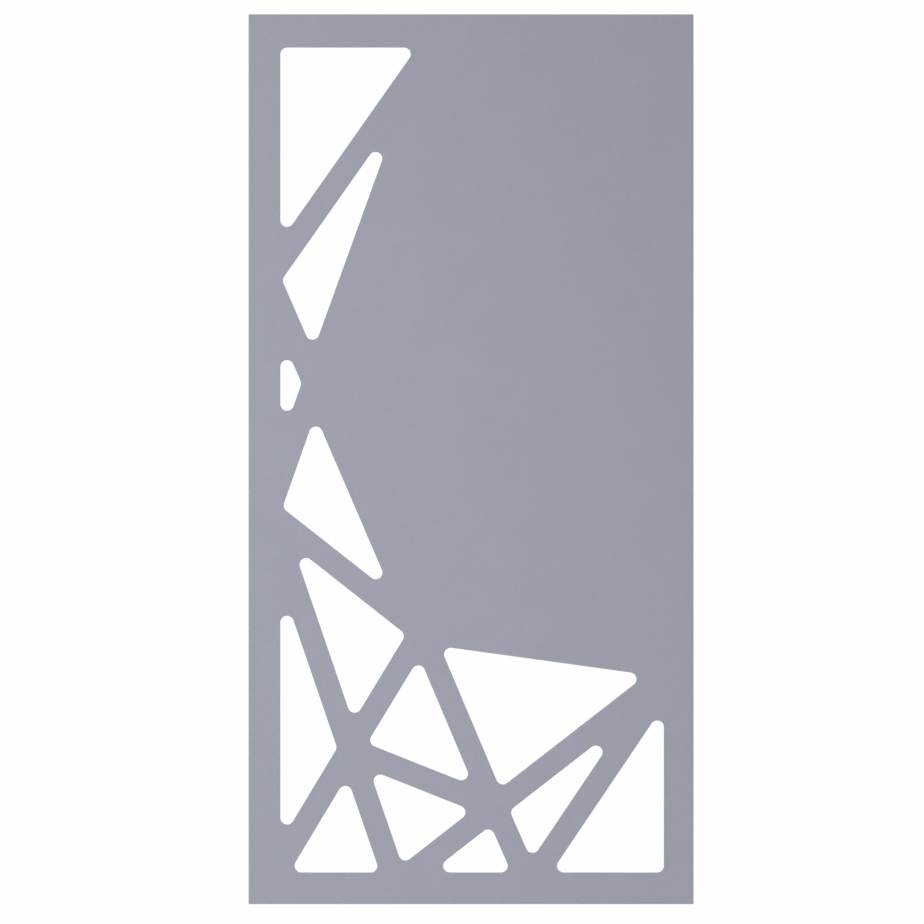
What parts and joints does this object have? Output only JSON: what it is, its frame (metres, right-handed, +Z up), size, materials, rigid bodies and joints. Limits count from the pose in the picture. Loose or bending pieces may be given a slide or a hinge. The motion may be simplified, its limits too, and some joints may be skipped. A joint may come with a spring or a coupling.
{
  "type": "hanging room divider",
  "caption": "Flat felt room divider with triangular cut-outs that leave a lattice of ribs, hung from threaded nuts that slide and lock in its top edge.",
  "frame": {"origin": "midway between the two hanging threads, level with their mouths", "axes": "+Z up out of the threads, +X to the right seen from the front, +Y from the front to the back"},
  "size_m": [1.2, 0.024, 2.4],
  "materials": {
    "felt": "pressed polyester felt, blue grey, matt, needled surface",
    "channel_aluminium": "extruded, clear anodised",
    "zinc_steel": "bright zinc plated",
    "black_steel": "black oxide",
    "black_nylon": "moulded, fine texture"
  },
  "bodies": {
    "panel": {"front_felt_board": "felt", "back_felt_board": "felt", "left_hanger_channel": "channel_aluminium", "left_channel_screws": "zinc_steel", "left_outer_stop": "black_nylon", "left_inner_stop": "black_nylon", "right_hanger_channel": "channel_aluminium", "right_channel_screws": "zinc_steel", "right_outer_stop": "black_nylon", "right_inner_stop": "black_nylon"},
    "left_hanger": {"left_hanger_nut": "zinc_steel"},
    "right_hanger": {"right_hanger_nut": "zinc_steel"},
    "left_lock": {"left_lock_screw": "black_steel"},
    "right_lock": {"right_lock_screw": "black_steel"}
  },
  "joints": [
    {"name": "left_hanger_slide", "type": "slide", "parent": "panel", "child": "left_hanger", "axis": [1, 0, 0], "range_m": [-0.0975, 0.0975]},
    {"name": "right_hanger_slide", "type": "slide", "parent": "panel", "child": "right_hanger", "axis": [1, 0, 0], "range_m": [-0.0975, 0.0975]},
    {"name": "left_lock_turn", "type": "hinge", "parent": "left_hanger", "child": "left_lock", "pos_m": [-0.389, 0, -0.005], "axis": [0, 0, 1], "range_deg": [0, 360]},
    {"name": "right_lock_turn", "type": "hinge", "parent": "right_hanger", "child": "right_lock", "pos_m": [0.389, 0, -0.005], "axis": [0, 0, 1], "range_deg": [0, 360]}
  ]
}
